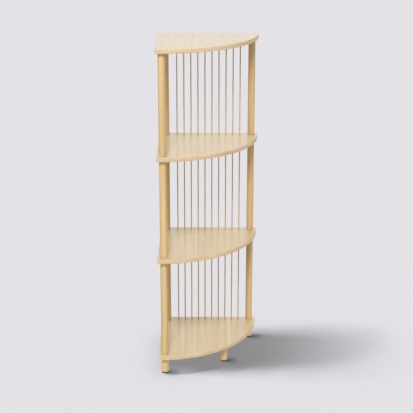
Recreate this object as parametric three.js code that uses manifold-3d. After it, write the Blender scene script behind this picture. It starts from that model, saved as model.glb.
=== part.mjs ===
// Corner shelf unit: four quarter-round boards on round wooden posts, short round feet,
// and a row of taut twisted ropes that closes the back.
// Millimetres, +Z up. The origin is on the floor, in the middle of the square that the unit fills.
// The wall corner is at -X +Y: the straight back edges lie on the +Y side, the straight left edges on the -X side,
// and the round front faces +X -Y.
import * as THREE from "three";
import { mergeVertices } from "three/addons/utils/BufferGeometryUtils.js";
import Module from "manifold-3d";

// ---- driving dimensions ----
const SIDE = 360; // straight side of a board, and radius of its round front
const BOARD_T = 15; // board thickness
const BAND_T = 1.2; // edge band thickness
const GLUE = 0.3; // glue line between a board's core and its bands
const CLEAR_H = 356.5; // free height between two boards
const FOOT_H = 58; // floor to the underside of the lowest board
const TIERS = 3; // bays, so TIERS + 1 boards

const POST_D = 25; // posts and feet are the same round bar
const POST_IN_WALL = 22; // post axis from a straight edge
const POST_IN_TIP = 24; // post axis from the board's free end
const MID_FOOT_R = 336; // middle foot axis from the wall corner, on the diagonal
const SEAT = 0.2; // play at each post end

const ROPE_D = 5;
const ROPE_N = 10;
const ROPE_PITCH = 25.65;
const ROPE_IN = 24; // rope line from the back edge
const ROPE_HOLE_D = 6.2;
const ROPE_BLIND = 10; // depth of the rope holes in the top board
const KNOT_D = 15;
const KNOT_H = 13;
const ROPE_TAIL = 8;

const STUD_D = 8; // threaded joining studs
const STUD_HOLE_D = 9;
const STUD_IN_POST = 20;
const POST_BORE = 22;
const INSERT_D = 11.4; // sleeve nuts let into a board from below
const INSERT_HOLE_D = 12.2;
const INSERT_L = 10.5;
const INSERT_HOLE_L = 11.5;

const GLIDE_D = 23;
const GLIDE_T = 5;
const GLIDE_PIN_D = 4;
const GLIDE_PIN_L = 14;
const GLIDE_HOLE_D = 4.8;
const FOOT_ROUND = 1.6; // eased lower edge of a foot

const ARC_STEPS = 48;
const POST_SIDES = 20;
const SMALL_SIDES = 12;
const ROPE_SIDES = 8;

// ---- where things stand ----
const CX = -SIDE / 2; // wall corner, which is also the centre of the round front
const CY = SIDE / 2;
const PITCH = CLEAR_H + BOARD_T;
const boardZ = (i) => FOOT_H + i * PITCH; // underside of board i, 0 = lowest
const POSTS = {
  corner: [CX + POST_IN_WALL, CY - POST_IN_WALL],
  left: [CX + POST_IN_WALL, CY - SIDE + POST_IN_TIP],
  right: [CX + SIDE - POST_IN_TIP, CY - POST_IN_WALL],
};
const MIDDLE = [CX + MID_FOOT_R * Math.SQRT1_2, CY - MID_FOOT_R * Math.SQRT1_2];
const ROPE_MID_X = (POSTS.corner[0] + POSTS.right[0]) / 2;
const ropeX = (k) => ROPE_MID_X + (k - (ROPE_N - 1) / 2) * ROPE_PITCH;
const ROPE_Y = CY - ROPE_IN;

// ---- materials ----
const finish = (color, roughness, metalness = 0) =>
  new THREE.MeshStandardMaterial({ color, roughness, metalness });
const veneer = () => finish(0xdcc7a2, 0.42);
const banding = () => finish(0xdcc096, 0.5);
const roundWood = () => finish(0xd9b980, 0.5);
const jute = () => finish(0xa98355, 0.95);
const zinc = () => finish(0xb9bcc0, 0.35, 0.9);
const felt = () => finish(0x2b2927, 0.9);

// ---- solids ----
const wasm = await Module();
wasm.setup();

function solid(geometry) {
  const g = geometry.clone();
  g.deleteAttribute("normal");
  g.deleteAttribute("uv");
  const m = mergeVertices(g, 1e-4);
  return new wasm.Manifold(
    new wasm.Mesh({
      numProp: 3,
      vertProperties: new Float32Array(m.attributes.position.array),
      triVerts: new Uint32Array(m.index.array),
    }),
  );
}

function geometryOf(manifold) {
  const m = manifold.getMesh();
  const g = new THREE.BufferGeometry();
  g.setAttribute("position", new THREE.BufferAttribute(new Float32Array(m.vertProperties), 3));
  g.setIndex(new THREE.BufferAttribute(new Uint32Array(m.triVerts), 1));
  g.computeVertexNormals();
  return g;
}

// A round piece about +Z from [radius, height] pairs, read from the bottom of its axis to the top.
function turned(profile, sides) {
  const g = new THREE.LatheGeometry(
    profile.map(([r, z]) => new THREE.Vector2(r, z)),
    sides,
  );
  g.rotateX(Math.PI / 2);
  return g;
}

function bar(diameter, length, sides) {
  return turned(
    [
      [0, 0],
      [diameter / 2, 0],
      [diameter / 2, length],
      [0, length],
    ],
    sides,
  );
}

function slab(points, thickness) {
  const shape = new THREE.Shape(points.map(([x, y]) => new THREE.Vector2(x, y)));
  return new THREE.ExtrudeGeometry(shape, { depth: thickness, bevelEnabled: false });
}

// Points of the round front at radius r, from the left edge (-90 degrees) to the back edge (0 degrees),
// kept inside the straight lines at `inset` from both walls.
function arc(r, inset) {
  const a = Math.asin(inset / r);
  const from = -Math.PI / 2 + a,
    to = -a;
  return Array.from({ length: ARC_STEPS + 1 }, (_, i) => {
    const t = from + ((to - from) * i) / ARC_STEPS;
    return [CX + r * Math.cos(t), CY + r * Math.sin(t)];
  });
}

// The core of a board: the quarter round inside its bands.
const CORE_IN = BAND_T + GLUE;
const coreOutline = [[CX + CORE_IN, CY - CORE_IN], ...arc(SIDE - CORE_IN, CORE_IN)];

function boardCore(i) {
  const top = i === TIERS;
  let core = solid(slab(coreOutline, BOARD_T));
  const drill = (x, y, d, z0, z1) => {
    const tool = bar(d, z1 - z0, SMALL_SIDES);
    tool.translate(x, y, z0);
    core = core.subtract(solid(tool));
  };
  for (const [x, y] of Object.values(POSTS)) {
    if (top) drill(x, y, INSERT_HOLE_D, -1, INSERT_HOLE_L);
    else drill(x, y, STUD_HOLE_D, -1, BOARD_T + 1);
  }
  if (i === 0) drill(...MIDDLE, INSERT_HOLE_D, -1, INSERT_HOLE_L);
  for (let k = 0; k < ROPE_N; k++)
    drill(ropeX(k), ROPE_Y, ROPE_HOLE_D, -1, top ? ROPE_BLIND : BOARD_T + 1);
  return geometryOf(core);
}

const frontBand = () => slab([...arc(SIDE, 0), ...arc(SIDE - BAND_T, 0).reverse()], BOARD_T);
const backBand = () =>
  slab(
    [
      [CX, CY - BAND_T],
      [CX + SIDE - BAND_T - GLUE, CY - BAND_T],
      [CX + SIDE - BAND_T - GLUE, CY],
      [CX, CY],
    ],
    BOARD_T,
  );
const sideBand = () =>
  slab(
    [
      [CX, CY - SIDE + BAND_T + GLUE],
      [CX + BAND_T, CY - SIDE + BAND_T + GLUE],
      [CX + BAND_T, CY - BAND_T - GLUE],
      [CX, CY - BAND_T - GLUE],
    ],
    BOARD_T,
  );

// A post: a round bar with a blind bore for a stud in each end.
function post() {
  const L = CLEAR_H - 2 * SEAT,
    R = POST_D / 2,
    b = STUD_HOLE_D / 2;
  return turned(
    [
      [0, POST_BORE],
      [b, POST_BORE],
      [b, 0],
      [R, 0],
      [R, L],
      [b, L],
      [b, L - POST_BORE],
      [0, L - POST_BORE],
    ],
    POST_SIDES,
  );
}

// A foot: the same bar, with a stud bore above, an eased lower edge and a pin hole for the glide below.
const FOOT_BOTTOM = GLIDE_T + SEAT;
function foot() {
  const L = FOOT_H - SEAT - FOOT_BOTTOM,
    R = POST_D / 2,
    b = STUD_HOLE_D / 2,
    p = GLIDE_HOLE_D / 2;
  return turned(
    [
      [0, GLIDE_PIN_L + 2],
      [p, GLIDE_PIN_L + 2],
      [p, 0],
      [R - FOOT_ROUND, 0],
      [R - FOOT_ROUND * 0.3, FOOT_ROUND * 0.3],
      [R, FOOT_ROUND],
      [R, L],
      [b, L],
      [b, L - POST_BORE],
      [0, L - POST_BORE],
    ],
    POST_SIDES,
  );
}

// A glide: a disc with a pin that is pressed into the foot.
function glide() {
  const R = GLIDE_D / 2;
  return turned(
    [
      [0, 0],
      [R - 0.6, 0],
      [R, 0.6],
      [R, GLIDE_T],
      [GLIDE_PIN_D / 2, GLIDE_T],
      [GLIDE_PIN_D / 2, GLIDE_T + GLIDE_PIN_L],
      [0, GLIDE_T + GLIDE_PIN_L + 1],
    ],
    POST_SIDES,
  );
}

// A sleeve nut: open at both ends, flush with the underside of its board.
function insert() {
  const R = INSERT_D / 2,
    b = STUD_HOLE_D / 2;
  return turned(
    [
      [b, 0],
      [R, 0],
      [R, INSERT_L],
      [b, INSERT_L],
      [b, 0],
    ],
    SMALL_SIDES,
  );
}

// A rope: tail and knot under the lowest board, then straight up through three boards into the top board.
const ROPE_TOP = boardZ(TIERS) + ROPE_BLIND - 0.5;
const KNOT_TOP = FOOT_H - 0.3;
function rope() {
  const r = ROPE_D / 2,
    K = KNOT_D / 2,
    z0 = KNOT_TOP - KNOT_H - ROPE_TAIL,
    z1 = KNOT_TOP - KNOT_H;
  return turned(
    [
      [0, z0],
      [r, z0],
      [r, z1],
      [K * 0.86, z1 + KNOT_H * 0.22],
      [K, z1 + KNOT_H * 0.5],
      [K * 0.86, z1 + KNOT_H * 0.82],
      [r, KNOT_TOP],
      [r, ROPE_TOP],
      [0, ROPE_TOP],
    ],
    ROPE_SIDES,
  );
}

// ---- assembly ----
const unit = new THREE.Group();
unit.name = "corner_shelf_unit";

function put(parent, name, geometry, material, x = 0, y = 0, z = 0) {
  const mesh = new THREE.Mesh(geometry, material);
  mesh.name = name;
  mesh.position.set(x, y, z);
  parent.add(mesh);
  return mesh;
}

for (let i = 0; i <= TIERS; i++) {
  const shelf = new THREE.Group();
  shelf.position.z = boardZ(i);
  unit.add(shelf);
  const n = `shelf_${i + 1}`;
  put(shelf, `${n}_board`, boardCore(i), veneer());
  put(shelf, `${n}_front_band`, frontBand(), banding());
  put(shelf, `${n}_back_band`, backBand(), banding());
  put(shelf, `${n}_side_band`, sideBand(), banding());
  for (const [where, [x, y]] of Object.entries(POSTS)) {
    if (i < TIERS) {
      put(shelf, `${n}_${where}_stud`, bar(STUD_D, BOARD_T + 2 * STUD_IN_POST, SMALL_SIDES), zinc(), x, y, -STUD_IN_POST);
    } else {
      put(shelf, `${n}_${where}_insert`, insert(), zinc(), x, y, 0);
      put(shelf, `${n}_${where}_stud`, bar(STUD_D, STUD_IN_POST + INSERT_L - 0.5, SMALL_SIDES), zinc(), x, y, -STUD_IN_POST);
    }
  }
}

for (let t = 0; t < TIERS; t++) {
  const tier = new THREE.Group();
  tier.position.z = boardZ(t) + BOARD_T + SEAT;
  unit.add(tier);
  for (const [where, [x, y]] of Object.entries(POSTS))
    put(tier, `tier_${t + 1}_${where}_post`, post(), roundWood(), x, y, 0);
}

for (const [where, [x, y]] of Object.entries({ ...POSTS, middle: MIDDLE })) {
  const leg = new THREE.Group();
  leg.position.set(x, y, 0);
  unit.add(leg);
  put(leg, `foot_${where}`, foot(), roundWood(), 0, 0, FOOT_BOTTOM);
  put(leg, `glide_${where}`, glide(), felt());
  if (where === "middle") {
    put(leg, "foot_middle_insert", insert(), zinc(), 0, 0, FOOT_H);
    put(leg, "foot_middle_stud", bar(STUD_D, STUD_IN_POST + INSERT_L - 0.5, SMALL_SIDES), zinc(), 0, 0, FOOT_H - STUD_IN_POST);
  }
}

const back = new THREE.Group();
back.position.y = ROPE_Y;
unit.add(back);
for (let k = 0; k < ROPE_N; k++)
  put(back, `rope_${String(k + 1).padStart(2, "0")}`, rope(), jute(), ropeX(k));

export default unit;
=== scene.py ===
# Corner shelf unit: veneered quarter-round boards, banded edges, round wooden posts and feet,
# and ten taut twisted ropes along the back. Metres, +Z up, wall corner at -X +Y.
import math

import bmesh
import bpy
import numpy as np
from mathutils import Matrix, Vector
from mathutils.geometry import tessellate_polygon


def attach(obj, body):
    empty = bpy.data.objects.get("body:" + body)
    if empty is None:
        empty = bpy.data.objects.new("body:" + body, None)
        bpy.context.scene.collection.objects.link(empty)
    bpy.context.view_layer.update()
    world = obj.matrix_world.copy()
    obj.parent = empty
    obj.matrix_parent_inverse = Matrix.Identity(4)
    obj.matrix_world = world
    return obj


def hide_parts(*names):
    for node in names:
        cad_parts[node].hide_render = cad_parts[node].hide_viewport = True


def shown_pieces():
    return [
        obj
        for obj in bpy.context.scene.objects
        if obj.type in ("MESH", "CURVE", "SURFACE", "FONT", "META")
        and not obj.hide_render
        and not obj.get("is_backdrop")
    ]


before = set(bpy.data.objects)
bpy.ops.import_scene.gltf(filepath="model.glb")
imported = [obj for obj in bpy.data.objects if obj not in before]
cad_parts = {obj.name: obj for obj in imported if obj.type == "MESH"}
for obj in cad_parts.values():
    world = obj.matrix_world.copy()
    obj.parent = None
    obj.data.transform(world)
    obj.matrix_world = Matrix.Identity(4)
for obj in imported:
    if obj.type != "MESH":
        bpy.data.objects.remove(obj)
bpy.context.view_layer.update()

# ------------------------------------------------------------------ sizes, as in the CAD
SIDE, BOARD, BAND = 0.360, 0.015, 0.0012
CLEAR, FOOT_H, TIERS = 0.3565, 0.058, 3
PITCH = CLEAR + BOARD
CX, CY = -SIDE / 2, SIDE / 2
POST_R = 0.0125
POSTS = {
    "corner": (CX + 0.022, CY - 0.022),
    "left": (CX + 0.022, CY - SIDE + 0.024),
    "right": (CX + SIDE - 0.024, CY - 0.022),
}
MIDDLE = (CX + 0.336 * math.sqrt(0.5), CY - 0.336 * math.sqrt(0.5))
ROPE_N, ROPE_PITCH, ROPE_R = 10, 0.02565, 0.0025
ROPE_Y = CY - 0.024
ROPE_X0 = (POSTS["corner"][0] + POSTS["right"][0]) / 2 - (ROPE_N - 1) / 2 * ROPE_PITCH
ROPE_HOLE_R, ROPE_BLIND = 0.0031, 0.010
STUD_HOLE_R, POST_BORE = 0.0045, 0.022
INSERT_HOLE_R, INSERT_HOLE_L = 0.0061, 0.0115
GLIDE_R, GLIDE_T = 0.0115, 0.005
GLIDE_PIN_R, GLIDE_PIN_L, GLIDE_HOLE_R = 0.002, 0.014, 0.0024
KNOT_H, ROPE_TAIL = 0.013, 0.008
HAIR = 0.00004  # how close two glued or resting faces come


def board_z(i):
    return FOOT_H + i * PITCH


# ------------------------------------------------------------------ camera: level with the photograph's viewpoint
PX = 413
cam_data = bpy.data.cameras.new("camera")
cam_data.sensor_fit = "HORIZONTAL"
cam_data.sensor_width = 36.0
cam_data.lens = 1094.6 / PX * 36.0
cam_data.clip_end = 100.0
camera = bpy.data.objects.new("camera", cam_data)
bpy.context.scene.collection.objects.link(camera)
camera.location = (0.0061, -3.782, 1.797)
PAN, TILT = 0.0036, 0.310
look = Vector(
    (
        -math.sin(PAN) * math.cos(TILT),
        math.cos(PAN) * math.cos(TILT),
        -math.sin(TILT),
    )
)
camera.rotation_mode = "QUATERNION"
camera.rotation_quaternion = look.to_track_quat("-Z", "Y")
bpy.context.scene.camera = camera


# ------------------------------------------------------------------ shader helpers
def lin(r, g, b):
    """An sRGB colour of 0 to 255 as a linear one."""

    def f(c):
        c /= 255.0
        return c / 12.92 if c <= 0.04045 else ((c + 0.055) / 1.055) ** 2.4

    return (f(r), f(g), f(b), 1.0)


class Shader:
    def __init__(self, name):
        self.mat = bpy.data.materials.new(name)
        self.mat.use_nodes = True
        self.nt = self.mat.node_tree
        self.nt.nodes.clear()
        self.out = self.nt.nodes.new("ShaderNodeOutputMaterial")
        self.bsdf = self.nt.nodes.new("ShaderNodeBsdfPrincipled")
        self.nt.links.new(self.bsdf.outputs[0], self.out.inputs["Surface"])

    def put(self, socket, value):
        if isinstance(value, bpy.types.NodeSocket):
            self.nt.links.new(value, socket)
        else:
            socket.default_value = value

    def node(self, kind, ins=None, **props):
        nd = self.nt.nodes.new(kind)
        for k, v in props.items():
            setattr(nd, k, v)
        for k, v in (ins or {}).items():
            self.put(nd.inputs[k], v)
        return nd

    def math(self, op, a, b=None, c=None, clamp=False):
        ins = {0: a}
        if b is not None:
            ins[1] = b
        if c is not None:
            ins[2] = c
        return self.node("ShaderNodeMath", ins, operation=op, use_clamp=clamp).outputs[0]

    def xyz(self, x, y, z):
        return self.node("ShaderNodeCombineXYZ", {0: x, 1: y, 2: z}).outputs[0]

    def parts(self, v):
        return self.node("ShaderNodeSeparateXYZ", {0: v}).outputs

    def noise(self, vec, scale=1.0, detail=2.0, rough=0.5, lac=2.0, dist=0.0):
        return self.node(
            "ShaderNodeTexNoise",
            {"Vector": vec, "Scale": scale, "Detail": detail, "Roughness": rough, "Lacunarity": lac, "Distortion": dist},
            noise_dimensions="3D",
        ).outputs[0]

    def ramp(self, v, lo, hi, a=0.0, b=1.0, kind="SMOOTHSTEP"):
        return self.node(
            "ShaderNodeMapRange",
            {"Value": v, "From Min": lo, "From Max": hi, "To Min": a, "To Max": b},
            interpolation_type=kind,
            clamp=True,
        ).outputs[0]

    def mix(self, f, a, b, blend="MIX"):
        return self.node(
            "ShaderNodeMix", {0: f, 6: a, 7: b}, data_type="RGBA", blend_type=blend, clamp_factor=True
        ).outputs[2]

    def attr(self, name, out="Fac"):
        return self.node("ShaderNodeAttribute", attribute_name=name, attribute_type="GEOMETRY").outputs[out]

    def gain(self, colour, amount):
        """colour times a grey amount."""
        return self.node(
            "ShaderNodeVectorMath", {0: colour, "Scale": amount}, operation="SCALE"
        ).outputs[0]

    def bump(self, height, strength, distance, under=None):
        ins = {"Height": height, "Strength": strength, "Distance": distance}
        if under is not None:
            ins["Normal"] = under
        return self.node("ShaderNodeBump", ins).outputs[0]

    def set(self, **values):
        for k, v in values.items():
            self.put(self.bsdf.inputs[k.replace("_", " ")], v)
        return self.mat


# ------------------------------------------------------------------ materials
def veneer_material(name, **lacquer):
    """Pale straight-grained veneer under lacquer. The grain runs along Y, from the back edge to the round front."""
    s = Shader(name)
    x, y, z = s.parts(s.node("ShaderNodeTexCoord").outputs["Object"])
    seed = s.attr("seed")
    gx0 = s.math("MULTIPLY_ADD", seed, 3.7, x)
    drift = s.noise(s.xyz(s.math("MULTIPLY", gx0, 5.0), s.math("MULTIPLY", y, 2.2), seed), detail=1.0)
    gx = s.math("MULTIPLY_ADD", s.math("SUBTRACT", drift, 0.5), 0.030, gx0)
    wide = s.noise(s.xyz(s.math("MULTIPLY", gx, 52.0), s.math("MULTIPLY", y, 0.9), seed), detail=2.0, rough=0.6)
    band = s.noise(s.xyz(s.math("MULTIPLY", gx, 240.0), s.math("MULTIPLY", y, 2.0), seed), detail=3.0, rough=0.6)
    fine = s.noise(s.xyz(s.math("MULTIPLY", gx, 620.0), s.math("MULTIPLY", y, 9.0), seed), detail=3.0, rough=0.7)
    pore = s.noise(s.xyz(s.math("MULTIPLY", gx, 1700.0), s.math("MULTIPLY", y, 62.0), seed), detail=2.0, rough=0.55)
    pore = s.ramp(pore, 0.60, 0.74)
    pore = s.math("MULTIPLY", pore, s.ramp(band, 0.38, 0.62, 0.15, 1.0))
    ray = s.noise(s.xyz(s.math("MULTIPLY", gx, 420.0), s.math("MULTIPLY", y, 190.0), seed), detail=1.0)
    ray = s.ramp(ray, 0.66, 0.78)

    light, mid, deep = lin(199, 182, 147), lin(192, 172, 134), lin(173, 148, 107)
    c = s.mix(s.ramp(wide, 0.30, 0.72), light, mid)
    c = s.mix(s.math("MULTIPLY", s.ramp(band, 0.42, 0.70), 0.37), c, deep)
    c = s.mix(s.math("MULTIPLY", s.ramp(fine, 0.40, 0.75), 0.33), c, deep)
    c = s.mix(s.math("MULTIPLY", pore, 0.40), c, lin(133, 103, 66))
    c = s.mix(s.math("MULTIPLY", ray, 0.30), c, lin(210, 196, 168))
    # painted light: the paler, greyer colour given to the higher boards by their paleness, as light from above makes
    # them look
    painted_pale = s.mix(s.math("MULTIPLY", s.ramp(band, 0.40, 0.66), 0.44), lin(216, 207, 187), lin(196, 181, 151))
    painted_pale = s.mix(s.math("MULTIPLY", s.ramp(fine, 0.40, 0.75), 0.24), painted_pale, lin(198, 184, 158))
    c = s.mix(s.attr("pale"), c, painted_pale)
    # one pale streak across each sheet, with a slightly darker line on its wall side
    at = s.math("SUBTRACT", x, s.attr("streak"))
    off = s.math("ABSOLUTE", s.math("MULTIPLY_ADD", s.math("SUBTRACT", drift, 0.5), 0.003, at))
    c = s.mix(s.math("MULTIPLY", s.ramp(off, 0.0010, 0.0032, 0.66, 0.0), s.attr("streak_force")), c, lin(217, 207, 181))
    side = s.math("ABSOLUTE", s.math("ADD", at, 0.0052))
    c = s.mix(s.math("MULTIPLY", s.ramp(side, 0.0004, 0.0026, 0.30, 0.0), s.attr("streak_force")), c, deep)
    # painted light and shade: each board lighter or darker overall by its tone
    c = s.gain(c, s.attr("tone"))
    rough = s.math("ADD", s.ramp(fine, 0.3, 0.8, 0.40, 0.48), s.math("MULTIPLY", pore, 0.12))
    h = s.math("SUBTRACT", s.math("MULTIPLY", fine, 0.35), pore)
    s.put(s.bsdf.inputs["Normal"], s.bump(h, 0.22, 0.00018))
    return s.set(Base_Color=c, Roughness=rough, Specular_IOR_Level=0.3, **lacquer)


def band_material():
    """Honey coloured edge band. Its grain runs along the edge."""
    s = Shader("honey_edge_band")
    g = s.attr("grain", "Vector")
    u, o, z = s.parts(g)
    slow = s.noise(s.xyz(s.math("MULTIPLY", u, 9.0), o, s.math("MULTIPLY", z, 90.0)), detail=2.0)
    line = s.noise(s.xyz(s.math("MULTIPLY", u, 14.0), o, s.math("MULTIPLY", z, 520.0)), detail=3.0, rough=0.65)
    fleck = s.noise(s.xyz(s.math("MULTIPLY", u, 130.0), o, s.math("MULTIPLY", z, 1500.0)), detail=2.0, rough=0.6)
    cloud = s.noise(s.xyz(s.math("MULTIPLY", u, 60.0), o, s.math("MULTIPLY", z, 110.0)), detail=3.0, rough=0.6)
    c = s.mix(s.ramp(slow, 0.3, 0.7), lin(204, 183, 147), lin(193, 168, 127))
    c = s.mix(s.math("MULTIPLY", s.ramp(line, 0.42, 0.72), 0.5), c, lin(171, 139, 99))
    c = s.mix(s.math("MULTIPLY", s.ramp(cloud, 0.45, 0.75), 0.35), c, lin(210, 192, 161))
    c = s.mix(s.math("MULTIPLY", s.ramp(fleck, 0.60, 0.75), 0.4), c, lin(135, 102, 66))
    # painted light and shade: each board's bands lighter or darker overall by their tone
    c = s.gain(c, s.attr("tone"))
    rough = s.ramp(line, 0.3, 0.8, 0.38, 0.50)
    h = s.math("MULTIPLY", line, -1.0)
    s.put(s.bsdf.inputs["Normal"], s.bump(h, 0.18, 0.00015))
    return s.set(Base_Color=c, Roughness=rough, Specular_IOR_Level=0.3, Coat_Weight=0.28, Coat_Roughness=0.24)


def bar_material():
    """Honey coloured round bar: growth rings cut lengthwise, so the figure runs along the bar."""
    s = Shader("honey_round_wood")
    g = s.attr("grain", "Vector")
    x, y, z = s.parts(g)
    bend = s.noise(s.xyz(s.math("MULTIPLY", x, 30.0), s.math("MULTIPLY", y, 30.0), s.math("MULTIPLY", z, 2.6)), detail=2.0)
    bend = s.math("MULTIPLY", s.math("SUBTRACT", bend, 0.5), 0.012)
    px = s.math("ADD", x, bend)
    py = s.math("ADD", y, s.math("MULTIPLY", bend, 0.6))
    d = s.math("SQRT", s.math("ADD", s.math("MULTIPLY", px, px), s.math("MULTIPLY", py, py)))
    ring = s.noise(s.xyz(s.math("MULTIPLY", d, 420.0), 0.0, s.math("MULTIPLY", z, 0.7)), detail=2.0, rough=0.55)
    tone = s.noise(s.xyz(s.math("MULTIPLY", px, 85.0), s.math("MULTIPLY", py, 85.0), s.math("MULTIPLY", z, 3.0)), detail=2.0)
    fibre = s.noise(s.xyz(s.math("MULTIPLY", px, 900.0), s.math("MULTIPLY", py, 900.0), s.math("MULTIPLY", z, 16.0)), detail=3.0, rough=0.65)
    fleck = s.noise(s.xyz(s.math("MULTIPLY", px, 1500.0), s.math("MULTIPLY", py, 1500.0), s.math("MULTIPLY", z, 150.0)), detail=1.0)
    fleck = s.ramp(fleck, 0.66, 0.78)
    c = s.mix(s.ramp(tone, 0.3, 0.7), lin(203, 178, 132), lin(193, 167, 118))
    stripe = s.noise(s.xyz(s.math("MULTIPLY", px, 210.0), s.math("MULTIPLY", py, 210.0), s.math("MULTIPLY", z, 1.4)), detail=3.0, rough=0.6)
    c = s.mix(s.math("MULTIPLY", s.ramp(stripe, 0.46, 0.66), 0.38), c, lin(178, 144, 94))
    c = s.mix(s.math("MULTIPLY", s.ramp(stripe, 0.46, 0.34), 0.35), c, lin(212, 188, 144))
    c = s.mix(s.math("MULTIPLY", s.ramp(ring, 0.45, 0.72), 0.36), c, lin(174, 141, 91))
    c = s.mix(s.math("MULTIPLY", s.ramp(fibre, 0.45, 0.8), 0.28), c, lin(168, 132, 84))
    c = s.mix(s.math("MULTIPLY", fleck, 0.30), c, lin(146, 107, 62))
    # painted shade: the warmth value turns the colour warmer, as wood looks in shade; the tone below is painted light
    # and shade, each piece lighter or darker overall
    c = s.mix(s.attr("shade_warmth"), c, s.mix(1.0, c, (1.0, 0.90, 0.74, 1.0), blend="MULTIPLY"))
    c = s.gain(c, s.attr("tone"))
    rough = s.ramp(fibre, 0.3, 0.8, 0.36, 0.48)
    s.put(s.bsdf.inputs["Normal"], s.bump(s.math("MULTIPLY", fibre, -1.0), 0.16, 0.00016))
    return s.set(Base_Color=c, Roughness=rough, Specular_IOR_Level=0.2, Coat_Weight=0.04, Coat_Roughness=0.2)


def rope_material():
    """Twisted plant fibre: matt, streaked along the yarns, with shade painted into the grooves and painted shade low
    down.
    """
    s = Shader("twisted_jute")
    x, y, z = s.parts(s.node("ShaderNodeTexCoord").outputs["Object"])
    deep = s.attr("groove")
    hair = s.noise(s.xyz(s.math("MULTIPLY", x, 2600.0), s.math("MULTIPLY", y, 2600.0), s.math("MULTIPLY", z, 260.0)), detail=3.0, rough=0.7)
    tone = s.noise(s.xyz(s.math("MULTIPLY", x, 60.0), s.math("MULTIPLY", y, 60.0), s.math("MULTIPLY", z, 45.0)), detail=2.0)
    c = s.mix(s.ramp(tone, 0.3, 0.7), lin(220, 189, 103), lin(205, 172, 85))
    c = s.mix(s.math("MULTIPLY", s.ramp(hair, 0.42, 0.72), 0.45), c, lin(152, 116, 53))
    c = s.mix(s.math("MULTIPLY", s.ramp(hair, 0.34, 0.22), 0.5), c, lin(231, 205, 136))
    # painted shade: the grooves between the yarns darkened
    c = s.mix(s.math("MULTIPLY", deep, 0.75), c, lin(95, 68, 29))
    # painted shade: the ropes darker towards the bottom, in the lowest bay
    c = s.gain(c, s.ramp(z, 0.12, 0.34, 0.90, 1.0))
    s.put(s.bsdf.inputs["Normal"], s.bump(hair, 0.6, 0.00025))
    return s.set(Base_Color=c, Roughness=0.92, Specular_IOR_Level=0.25, Sheen_Weight=0.35, Sheen_Roughness=0.5)


def zinc_material():
    s = Shader("zinc_plate")
    x, y, z = s.parts(s.node("ShaderNodeTexCoord").outputs["Object"])
    spangle = s.noise(s.xyz(s.math("MULTIPLY", x, 700.0), s.math("MULTIPLY", y, 700.0), s.math("MULTIPLY", z, 700.0)), detail=3.0)
    thread = s.math("SINE", s.math("MULTIPLY", z, 2 * math.pi / 0.00125))
    c = s.mix(s.ramp(spangle, 0.3, 0.7), lin(196, 199, 203), lin(168, 171, 176))
    s.put(s.bsdf.inputs["Normal"], s.bump(thread, 0.5, 0.0003))
    return s.set(Base_Color=c, Roughness=s.ramp(spangle, 0.3, 0.7, 0.28, 0.42), Metallic=1.0)


def glide_material():
    """Dark needle felt disc."""
    s = Shader("dark_felt")
    x, y, z = s.parts(s.node("ShaderNodeTexCoord").outputs["Object"])
    nap = s.noise(s.xyz(s.math("MULTIPLY", x, 1500.0), s.math("MULTIPLY", y, 1500.0), s.math("MULTIPLY", z, 1500.0)), detail=3.0, rough=0.7)
    c = s.mix(s.ramp(nap, 0.3, 0.75), lin(44, 41, 39), lin(84, 79, 74))
    s.put(s.bsdf.inputs["Normal"], s.bump(nap, 0.6, 0.0003))
    return s.set(Base_Color=c, Roughness=0.95, Specular_IOR_Level=0.2)


VENEER, UNDERSIDE, BANDING, ROUND, JUTE, ZINC, FELT = (
    veneer_material("pale_oak_veneer", Coat_Weight=1.0, Coat_Roughness=0.23, Coat_IOR=2.2),
    veneer_material("pale_oak_underside", Coat_Weight=0.25, Coat_Roughness=0.35),
    band_material(),
    bar_material(),
    rope_material(),
    zinc_material(),
    glide_material(),
)


# ------------------------------------------------------------------ mesh helpers
def piece(name, verts, faces, mat, nodes, attrs=None, sharp=35.0, tidy=True):
    """A piece from vertices in row-frame metres; attrs are point attributes of one number or of three."""
    me = bpy.data.meshes.new(name)
    verts = np.asarray(verts, dtype=float)
    me.from_pydata([tuple(v) for v in verts], [], faces)
    for key, values in (attrs or {}).items():
        values = np.asarray(values, dtype=np.float32)
        if values.ndim == 2:
            me.attributes.new(key, "FLOAT_VECTOR", "POINT").data.foreach_set("vector", values.ravel())
        else:
            if values.ndim == 0:
                values = np.full(len(verts), float(values), np.float32)
            me.attributes.new(key, "FLOAT", "POINT").data.foreach_set("value", values)
    if tidy:
        bm = bmesh.new()
        bm.from_mesh(me)
        bmesh.ops.recalc_face_normals(bm, faces=bm.faces)
        bm.to_mesh(me)
        bm.free()
    me.shade_smooth()
    me.set_sharp_from_angle(angle=math.radians(sharp))
    me.materials.append(mat)
    ob = bpy.data.objects.new(name, me)
    bpy.context.scene.collection.objects.link(ob)
    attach(ob, "root")
    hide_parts(*nodes)
    return ob


def eased(points, radii, steps=4):
    """A polyline with the named corners rounded off."""
    out = []
    n = len(points)
    for i, p in enumerate(points):
        r = radii.get(i, 0.0)
        if r <= 0:
            out.append(p)
            continue
        a, b, c = Vector(points[i - 1]), Vector(p), Vector(points[(i + 1) % n])
        u, v = (a - b).normalized(), (c - b).normalized()
        half = u.angle(v) / 2
        t = r / math.tan(half)
        centre = b + (u + v).normalized() * (r / math.sin(half))
        p0, p1 = b + u * t, b + v * t
        d0, d1 = p0 - centre, p1 - centre
        turn = d0.angle_signed(d1)
        for k in range(steps + 1):
            w = turn * k / steps
            # angle_signed is clockwise positive
            q = Vector((d0.x * math.cos(w) + d0.y * math.sin(w), -d0.x * math.sin(w) + d0.y * math.cos(w)))
            out.append(tuple(centre + q))
    return out


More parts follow.
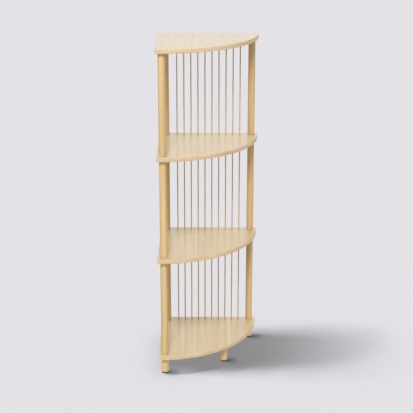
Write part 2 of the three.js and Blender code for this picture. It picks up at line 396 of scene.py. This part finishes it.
def lathe(profile, cx, cy, z0, sides=64):
    """A closed round solid about a vertical axis from (radius, height) pairs that start and end on the axis."""
    verts, faces, rows = [], [], []
    for r, z in profile:
        if r < 1e-9:
            rows.append([len(verts)])
            verts.append((cx, cy, z0 + z))
        else:
            row = []
            for k in range(sides):
                a = 2 * math.pi * k / sides
                row.append(len(verts))
                verts.append((cx + r * math.cos(a), cy + r * math.sin(a), z0 + z))
            rows.append(row)
    for a, b in zip(rows, rows[1:]):
        for k in range(sides):
            m = (k + 1) % sides
            if len(a) == 1 and len(b) == 1:
                continue
            if len(a) == 1:
                faces.append((a[0], b[m], b[k]))
            elif len(b) == 1:
                faces.append((a[k], a[m], b[0]))
            else:
                faces.append((a[k], a[m], b[m], b[k]))
    return verts, faces


rng = np.random.default_rng(41)


def bar_attrs(verts, cx, cy, tone, shade_warmth=0.0, side_shade=0.0):
    """Grain coordinates: the bar's own frame, set off from the middle of an imagined log, so each bar shows another
    figure.
    The tone, warmth and side values paint light and shade onto the bar: the tone makes it lighter or darker overall,
    the warmth makes it warmer, as wood looks in shade, and the side value makes its +X side lighter and its -X side
    darker and, where it is positive, warmer."""
    v = np.asarray(verts, float)
    a = rng.uniform(0, 2 * math.pi)
    far = rng.uniform(0.018, 0.05)
    spin = rng.uniform(0, 2 * math.pi)
    dx, dy = v[:, 0] - cx, v[:, 1] - cy
    gx = dx * math.cos(spin) - dy * math.sin(spin) + far * math.cos(a)
    gy = dx * math.sin(spin) + dy * math.cos(spin) + far * math.sin(a)
    gz = v[:, 2] + rng.uniform(0, 20)
    across = dx / POST_R
    return {
        "grain": np.stack([gx, gy, gz], 1),
        "tone": tone * (1 + side_shade * across),
        "shade_warmth": np.clip(shade_warmth - 3 * max(side_shade, 0.0) * across, 0, 1),
    }


# ------------------------------------------------------------------ boards and bands
def arc_points(radius, inset, steps):
    a = math.asin(inset / radius)
    return [
        (CX + radius * math.cos(t), CY + radius * math.sin(t))
        for t in np.linspace(-math.pi / 2 + a, -a, steps + 1)
    ]


def circle(cx, cy, r, n):
    return [(cx + r * math.cos(2 * math.pi * k / n), cy + r * math.sin(2 * math.pi * k / n)) for k in range(n)]


def board(i, tone, pale, streak, force):
    """The core with its veneers: the quarter round inside the bands, drilled for the studs and for the ropes."""
    z0, z1 = board_z(i), board_z(i) + BOARD
    inset = BAND + HAIR
    outline = [(CX + inset, CY - inset)] + arc_points(SIDE - inset, inset, 180)
    holes = []  # x, y, radius, depth from below (None: through), sides, chamfer
    top = i == TIERS
    for x, y in POSTS.values():
        holes.append((x, y, INSERT_HOLE_R if top else STUD_HOLE_R, INSERT_HOLE_L if top else None, 28, 0.0))
    if i == 0:
        holes.append((*MIDDLE, INSERT_HOLE_R, INSERT_HOLE_L, 28, 0.0))
    for k in range(ROPE_N):
        holes.append((ROPE_X0 + k * ROPE_PITCH, ROPE_Y, ROPE_HOLE_R, ROPE_BLIND if top else None, 24, 0.0004))
    verts, faces = [], []

    def ring(points, z):
        at = len(verts)
        verts.extend((x, y, z) for x, y in points)
        return list(range(at, at + len(points)))

    def wall(a, b):
        n = len(a)
        faces.extend((a[k], a[(k + 1) % n], b[(k + 1) % n], b[k]) for k in range(n))

    def cover(loops, z, up):
        """Fills a flat face between its outline and its holes."""
        ids = [v for loop in loops for v in loop]
        tris = tessellate_polygon([[Vector(verts[v]) for v in loop] for loop in loops])
        for t in tris:
            t = [ids[k] for k in t]
            (ax, ay, _), (bx, by, _), (cx, cy, _) = (verts[k] for k in t)
            area = (bx - ax) * (cy - ay) - (cx - ax) * (by - ay)
            if abs(area) > 1e-14:
                faces.append(tuple(t if (area > 0) == up else t[::-1]))

    low, high = ring(outline, z0), ring(outline, z1)
    wall(low, high)
    lows, highs = [low], [high]
    for x, y, r, depth, n, cham in holes:
        a = ring(circle(x, y, r + cham, n), z0)
        lows.append(a)
        if cham:
            b = ring(circle(x, y, r, n), z0 + cham)
            wall(a, b)
            a = b
        if depth is None:
            if cham:
                b = ring(circle(x, y, r, n), z1 - cham)
                wall(a, b)
                a = b
            b = ring(circle(x, y, r + cham, n), z1)
            wall(a, b)
            highs.append(b)
        else:
            b = ring(circle(x, y, r, n), z0 + depth)
            wall(a, b)
            faces.append(tuple(b))
    cover(lows, z0, False)
    cover(highs, z1, True)
    ob = piece(
        f"veneered_board_{i + 1}",
        verts,
        faces,
        VENEER,
        [f"shelf_{i + 1}_board"],
        {"seed": 0.31 + i * 1.37, "tone": tone, "pale": pale, "streak": streak, "streak_force": force},
        sharp=25.0,
    )
    ob.data.materials.append(UNDERSIDE)
    for p in ob.data.polygons:
        p.material_index = int(p.normal.z < -0.5)
    return ob


def strip(name, node, path, normals, z0, length0, tone=1.0):
    """An edge band along a path on its glued face, with its two outer arrises eased."""
    section = eased([(0, 0), (BAND, 0), (BAND, BOARD), (0, BOARD)], {1: 0.0009, 2: 0.0009}, steps=5)
    verts, grain, rows = [], [], []
    length = length0
    for j, ((x, y), (nx, ny)) in enumerate(zip(path, normals)):
        if j:
            length += math.dist(path[j - 1], path[j])
        row = []
        for o, z in section:
            row.append(len(verts))
            verts.append((x + nx * o, y + ny * o, z0 + z))
            grain.append((length, o * 40 + length0, z + length0 * 0.37))
        rows.append(row)
    n = len(section)
    faces = [(a[k], a[(k + 1) % n], b[(k + 1) % n], b[k]) for a, b in zip(rows, rows[1:]) for k in range(n)]
    faces += [tuple(reversed(rows[0])), tuple(rows[-1])]
    return piece(name, verts, faces, BANDING, [node], {"grain": grain, "tone": tone}, sharp=40.0)


def bands(i, tone):
    z0 = board_z(i)
    r = SIDE - BAND
    ts = np.linspace(-math.pi / 2, 0, 181)
    path = [(CX + r * math.cos(t), CY + r * math.sin(t)) for t in ts]
    strip(f"front_band_{i + 1}", f"shelf_{i + 1}_front_band", path, [(math.cos(t), math.sin(t)) for t in ts], z0, 2.1 * i, tone)
    xs = np.linspace(CX, CX + SIDE - BAND - HAIR, 25)
    strip(f"back_band_{i + 1}", f"shelf_{i + 1}_back_band", [(x, CY - BAND) for x in xs], [(0, 1)] * len(xs), z0, 10 + 2.3 * i, tone)
    ys = np.linspace(CY - SIDE + BAND + HAIR, CY - BAND - HAIR, 25)
    strip(f"side_band_{i + 1}", f"shelf_{i + 1}_side_band", [(CX + BAND, y) for y in ys], [(-1, 0)] * len(ys), z0, 20 + 2.7 * i, tone)


# per board, lowest first: tone, paleness, streak place and strength, band tone. The paleness and tones step with
# height: painted light, the higher boards paler and boards and bands a little darker in tone higher up
for i, (tone, pale, streak, force, band_tone) in enumerate(
    [
        (1.01, 0.0, 0.0770, 0.8, 1.05),
        (0.98, 0.08, -0.0468, 0.6, 1.0),
        (0.965, 0.28, 0.0160, 0.25, 0.965),
        (0.935, 0.48, -0.1047, 0.45, 0.925),
    ]
):
    board(i, tone, pale, streak, force)
    bands(i, band_tone)

# ------------------------------------------------------------------ posts, feet, glides
# painted light and shade on the round wood: the tones make posts lighter or darker as the light falls on them and
# brighten the feet, the warmth turns the shaded corner and right posts and feet warmer, and the side values darken one
# side of a post
BAR_TONE = {"corner": (0.98, 0.93, 0.96), "left": (1.03, 1.06, 0.96), "right": (0.97, 0.97, 0.90)}  # lowest bay first
BAR_SHADE_WARMTH = {"corner": 0.65, "left": 0.0, "right": 0.4}
BAR_SIDE_SHADE = {"corner": (0.0, 0.0, 0.0), "left": (-0.04, -0.02, -0.04), "right": (0.15, 0.02, 0.10)}
FOOT_TONE = {"corner": 1.15, "left": 1.19, "right": 1.21, "middle": 1.06}
FOOT_SHADE_WARMTH = {"corner": 0.3, "left": 0.0, "right": 0.15, "middle": 0.3}
for t in range(TIERS):
    for where, (x, y) in POSTS.items():
        L = CLEAR - 2 * HAIR
        profile = eased(
            [
                (0, POST_BORE),
                (STUD_HOLE_R, POST_BORE),
                (STUD_HOLE_R, 0),
                (POST_R, 0),
                (POST_R, L),
                (STUD_HOLE_R, L),
                (STUD_HOLE_R, L - POST_BORE),
                (0, L - POST_BORE),
            ],
            {3: 0.0010, 4: 0.0016},
        )
        # more rings along the bar, so that the long faces stay well shaped
        k = max(range(len(profile) - 1), key=lambda j: profile[j + 1][1] - profile[j][1])
        a, b = profile[k], profile[k + 1]
        between = [(a[0], a[1] + (b[1] - a[1]) * m / 12) for m in range(1, 12)]
        profile = profile[: k + 1] + between + profile[k + 1 :]
        v, f = lathe(profile, x, y, board_z(t) + BOARD + HAIR)
        piece(
            f"{where}_post_{t + 1}",
            v,
            f,
            ROUND,
            [f"tier_{t + 1}_{where}_post"],
            bar_attrs(v, x, y, BAR_TONE[where][t], BAR_SHADE_WARMTH[where], BAR_SIDE_SHADE[where][t]),
        )

for where, (x, y) in {**POSTS, "middle": MIDDLE}.items():
    z0 = GLIDE_T + HAIR
    L = FOOT_H - HAIR - z0
    profile = eased(
        [
            (0, GLIDE_PIN_L + 0.002),
            (GLIDE_HOLE_R, GLIDE_PIN_L + 0.002),
            (GLIDE_HOLE_R, 0),
            (POST_R, 0),
            (POST_R, L),
            (STUD_HOLE_R, L),
            (STUD_HOLE_R, L - POST_BORE),
            (0, L - POST_BORE),
        ],
        {3: 0.0018, 4: 0.0006},
        steps=6,
    )
    v, f = lathe(profile, x, y, z0)
    piece(f"{where}_foot", v, f, ROUND, [f"foot_{where}"], bar_attrs(v, x, y, FOOT_TONE[where], FOOT_SHADE_WARMTH[where]))
    profile = eased(
        [
            (0, 0),
            (GLIDE_R, 0),
            (GLIDE_R, GLIDE_T),
            (GLIDE_PIN_R, GLIDE_T),
            (GLIDE_PIN_R, GLIDE_T + GLIDE_PIN_L),
            (0, GLIDE_T + GLIDE_PIN_L + 0.001),
        ],
        {1: 0.0006, 2: 0.0004},
    )
    v, f = lathe(profile, x, y, 0.0, sides=48)
    piece(f"{where}_glide", v, f, FELT, [f"glide_{where}"])


# ------------------------------------------------------------------ ropes
def smooth_line(p, rounds, fixed):
    """Averages neighbours along a dense line; the points that are fixed stay."""
    p = p.copy()
    for _ in range(rounds):
        q = p.copy()
        q[1:-1] = (p[:-2] + 2 * p[1:-1] + p[2:]) / 4
        q[fixed] = p[fixed]
        p = q
    return p


def resample(p, step):
    d = np.concatenate([[0], np.cumsum(np.linalg.norm(np.diff(p, axis=0), axis=1))])
    n = max(2, int(round(d[-1] / step)))
    s = np.linspace(0, d[-1], n + 1)
    return np.stack([np.interp(s, d, p[:, k]) for k in range(3)], 1), s


def rope_line(k):
    """From the blind hole in the top board down through the boards, a knot, and a short tail."""
    x, y = ROPE_X0 + k * ROPE_PITCH, ROPE_Y
    z_top = board_z(TIERS) + ROPE_BLIND - 0.0005
    z = np.arange(z_top, FOOT_H - 0.001, -0.001)
    wx, wy = np.zeros_like(z), np.zeros_like(z)
    for t in range(TIERS):
        lo, hi = board_z(t) + BOARD, board_z(t + 1)
        inside = (z > lo) & (z < hi)
        u = (z[inside] - lo) / (hi - lo)
        edge = np.clip(np.minimum(u, 1 - u) / 0.08, 0, 1)
        edge = edge * edge * (3 - 2 * edge)
        for w in (wx, wy):
            wave = sum(
                rng.uniform(0.1, 0.30) * np.sin(2 * math.pi * (f * u + rng.uniform()))
                for f in (rng.uniform(0.6, 1.4), rng.uniform(2, 3.5), rng.uniform(5, 8))
            )
            w[inside] = wave * 0.0006 * edge
    straight = np.stack([x + wx, y + wy, z], 1)
    # an open overhand knot on a polynomial curve
    t = np.linspace(-2.12, 2.12, 160)
    a, b, c = 0.0019, 0.00112, 0.00033
    kx, ky, kz = a * (t**3 - 3 * t), b * (t**4 - 4 * t**2), -c * (t**5 - 10 * t)
    spin = rng.uniform(0, 2 * math.pi)
    ky = ky + 0.0022
    mid = FOOT_H - 0.0105
    knot = np.stack([x + kx * math.cos(spin) - ky * math.sin(spin), y + kx * math.sin(spin) + ky * math.cos(spin), mid + kz], 1)
    tail_z = np.arange(knot[-1, 2] - 0.002, FOOT_H - 0.0003 - KNOT_H - ROPE_TAIL, -0.0005)
    tail = np.stack([np.full_like(tail_z, x + 0.0006), np.full_like(tail_z, y), tail_z], 1)
    line = np.concatenate([straight, knot, tail])
    line, _ = resample(line, 0.0005)
    fixed = line[:, 2] > FOOT_H - 0.0005
    line = smooth_line(line, 30, fixed)
    return resample(line, 0.00095)


def rope(k):
    p, s = rope_line(k)
    n = len(p)
    tangent = np.gradient(p, axis=0)
    tangent /= np.linalg.norm(tangent, axis=1)[:, None]
    # a frame carried along without turning
    side = np.zeros_like(p)
    u = np.array([1.0, 0, 0])
    for j in range(n):
        u = u - tangent[j] * (u @ tangent[j])
        u /= np.linalg.norm(u)
        side[j] = u
    other = np.cross(tangent, side)
    lay = 0.022
    sides = 22
    phi = np.linspace(0, 2 * math.pi, sides, endpoint=False)
    # two yarns laid round each other, pressed together where they touch
    rc, rs = 0.37 * ROPE_R, 0.63 * ROPE_R
    r = rc * np.abs(np.cos(phi)) + np.sqrt(rs * rs - (rc * np.sin(phi)) ** 2)
    floor_r = 0.56 * ROPE_R
    r = np.where(r < floor_r, floor_r, r)
    groove = 1 - (r - floor_r) / (ROPE_R - floor_r)
    wob = rng.normal(0, 1, (n, sides))
    wob = (wob + np.roll(wob, 1, 0) + np.roll(wob, -1, 0)) / 3
    thick = 1 + 0.025 * np.sin(s / 0.031 + rng.uniform(0, 6)) + 0.02 * np.sin(s / 0.0113 + rng.uniform(0, 6))
    rad = r[None, :] * np.clip(0.975 * thick, 0.93, 1.0)[:, None] + wob * 0.00005
    rad = np.minimum(rad, ROPE_R)
    ang = phi[None, :] + (2 * math.pi / lay * s)[:, None]
    v = (
        p[:, None, :]
        + side[:, None, :] * (rad * np.cos(ang))[:, :, None]
        + other[:, None, :] * (rad * np.sin(ang))[:, :, None]
    ).reshape(-1, 3)
    idx = np.arange(n * sides).reshape(n, sides)
    nxt = np.roll(idx, -1, 1)
    quads = np.stack([idx[:-1], idx[1:], nxt[1:], nxt[:-1]], -1).reshape(-1, 4)
    faces = [tuple(q) for q in quads.tolist()]
    faces.append(tuple(idx[0].tolist()))
    faces.append(tuple(idx[-1].tolist()[::-1]))
    grooves = np.repeat((groove**1.4)[None, :], n, 0).ravel()
    return piece(
        f"twisted_rope_{k + 1:02d}",
        v,
        faces,
        JUTE,
        [f"rope_{k + 1:02d}"],
        {"groove": grooves},
        sharp=80.0,
    )


for k in range(ROPE_N):
    rope(k)

# the hidden steel keeps its CAD shape
for name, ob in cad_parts.items():
    if name.endswith(("_stud", "_insert")):
        ob.data.materials.clear()
        ob.data.materials.append(ZINC)

# ------------------------------------------------------------------ floor and light
scene = bpy.context.scene
scene.view_settings.view_transform = "Standard"
scene.view_settings.look = "None"
scene.view_settings.exposure = 0.0
scene.view_settings.gamma = 1.0

BACKDROP = (0.768, 0.761, 0.799)  # linear; the floor in full light, and the world, so that no horizon shows
AMBIENT = (0.80, 0.755, 0.705)  # the studio as the unit sees it: warm light from its walls
AMBIENT_SHARE, KEY_SHARE = 0.11, 0.665  # of the floor's light near the unit; the rest is its own glow
floor_shader = Shader("pale_floor")
fx, fy, fz = floor_shader.parts(floor_shader.node("ShaderNodeTexCoord").outputs["Object"])
dust = floor_shader.noise(floor_shader.xyz(fx, fy, 0.0), scale=900.0, detail=2.0)
# further to the right the floor glows more and takes less of the lamps, so that the shadow fades away
near = floor_shader.ramp(fx, 0.07, 0.99, 1.0, 0.0)
# how open the floor is upwards: under the lowest board and close to it the lamps' shadow gives way to a softer shade
sky = floor_shader.node("ShaderNodeAmbientOcclusion", {"Distance": 0.12}, samples=16).outputs["AO"]
near = floor_shader.math("MULTIPLY", near, floor_shader.math("MULTIPLY_ADD", sky, 0.35, 0.65))
# and the shadow's front edge is softer beside the front left foot
soft = floor_shader.math("MULTIPLY", floor_shader.ramp(fx, -0.10, 0.0, 1.0, 0.0), floor_shader.ramp(fy, -0.165, -0.09, 1.0, 0.0))
near = floor_shader.math("MULTIPLY", near, floor_shader.math("MULTIPLY_ADD", soft, -0.30, 1.0))
albedo = floor_shader.math("MULTIPLY", near, floor_shader.ramp(dust, 0.2, 0.8, 0.985 * AMBIENT_SHARE, 1.015 * AMBIENT_SHARE))
glow = floor_shader.math("MULTIPLY_ADD", near, -AMBIENT_SHARE - KEY_SHARE, 1.0)
# contact shade on the side away from the lamps: where a foot hides both the left front and the left back
touch = [
    floor_shader.node(
        "ShaderNodeAmbientOcclusion", {"Distance": 0.05, "Normal": floor_shader.xyz(-0.78, y, 0.20)}, samples=16
    ).outputs["AO"]
    for y in (-0.60, 0.60)
]
touch = floor_shader.math("MAXIMUM", *touch)
touch = floor_shader.math("POWER", floor_shader.ramp(touch, 0.64, 1.0, kind="LINEAR"), 2.0)
touch = floor_shader.math("MULTIPLY_ADD", touch, 0.64, 0.36)
touch = floor_shader.math("MULTIPLY", touch, floor_shader.math("MULTIPLY_ADD", sky, 0.38, 0.62))
glow = floor_shader.math("MULTIPLY", glow, touch)
albedo = floor_shader.math("MULTIPLY", albedo, touch)
albedo = [floor_shader.math("MULTIPLY", albedo, b / a) for a, b in zip(AMBIENT, BACKDROP)]
floor_shader.set(
    Base_Color=floor_shader.xyz(*albedo),
    Roughness=1.0,
    Specular_IOR_Level=0.0,
    Emission_Color=(*BACKDROP, 1),
    Emission_Strength=glow,
)
fm = bpy.data.meshes.new("floor")
F = 60.0
fm.from_pydata([(-F, -F, 0), (F, -F, 0), (F, F, 0), (-F, F, 0)], [], [(0, 1, 2, 3)])
fm.materials.append(floor_shader.mat)
floor = bpy.data.objects.new("floor", fm)
floor_only = bpy.data.collections.new("floor_only")
scene.collection.children.link(floor_only)
floor_only.objects.link(floor)
floor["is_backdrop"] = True
floor.visible_diffuse = False  # the unit sees the open studio below it, not its own shadow
floor.visible_glossy = False
unit_only = bpy.data.collections.new("unit_only")
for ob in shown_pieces():
    unit_only.objects.link(ob)

world = bpy.data.worlds.new("studio")
scene.world = world
world.use_nodes = True
seen = world.node_tree.nodes.new("ShaderNodeLightPath")
tint = world.node_tree.nodes.new("ShaderNodeMix")
tint.data_type = "RGBA"
tint.inputs[6].default_value, tint.inputs[7].default_value = (*AMBIENT, 1), (*BACKDROP, 1)
world.node_tree.links.new(seen.outputs["Is Camera Ray"], tint.inputs[0])
world.node_tree.links.new(tint.outputs[2], world.node_tree.nodes["Background"].inputs["Color"])


def sun(name, energy, azimuth, elevation, angle, receivers, colour=(1, 1, 1)):
    """A distant lamp; azimuth is where it stands, counted from -Y towards +X. energy is what reaches the level floor."""
    data = bpy.data.lights.new(name, "SUN")
    a, e = math.radians(azimuth), math.radians(elevation)
    data.energy, data.angle, data.color = energy / math.sin(e), math.radians(angle), colour
    ob = bpy.data.objects.new(name, data)
    scene.collection.objects.link(ob)
    d = Vector((math.sin(a) * math.cos(e), -math.cos(a) * math.cos(e), math.sin(e)))
    ob.rotation_mode = "QUATERNION"
    ob.rotation_quaternion = (-d).to_track_quat("-Z", "Y")
    ob.location = d * 5
    ob.light_linking.receiver_collection = receivers
    return ob


def softbox(name, place, aim, size, power, receivers, colour=(1, 1, 1)):
    """A square area lamp."""
    data = bpy.data.lights.new(name, "AREA")
    data.shape, data.size, data.energy, data.color = "SQUARE", size, power, colour
    ob = bpy.data.objects.new(name, data)
    scene.collection.objects.link(ob)
    ob.location = place
    ob.rotation_mode = "QUATERNION"
    ob.rotation_quaternion = (Vector(aim) - Vector(place)).to_track_quat("-Z", "Y")
    ob.light_linking.receiver_collection = receivers
    return ob


# soft lamps at the left that only the floor shows
keys = [(63, -87, 0.43, 10), (66, -84, 0.30, 5), (60, -96, 0.12, 7), (66, -78, 0.10, 5), (72, -69, 0.05, 5)]
total = sum(w for _, _, w, _ in keys)
for k, (e, az, w, disc) in enumerate(keys):
    sun(f"left_{k + 1}", KEY_SHARE / AMBIENT_SHARE * math.pi * w / total, az, e, disc, floor_only, AMBIENT)
# a soft key from the front and a wide fill from the left, on the unit itself
softbox("front_key", (-0.20, -3.30, 4.2), (0, 0, 0.6), 1.3, 205.0, unit_only, (0.97, 1.0, 1.10))
sun("left_fill", 0.13, -78, 48, 60.0, unit_only)
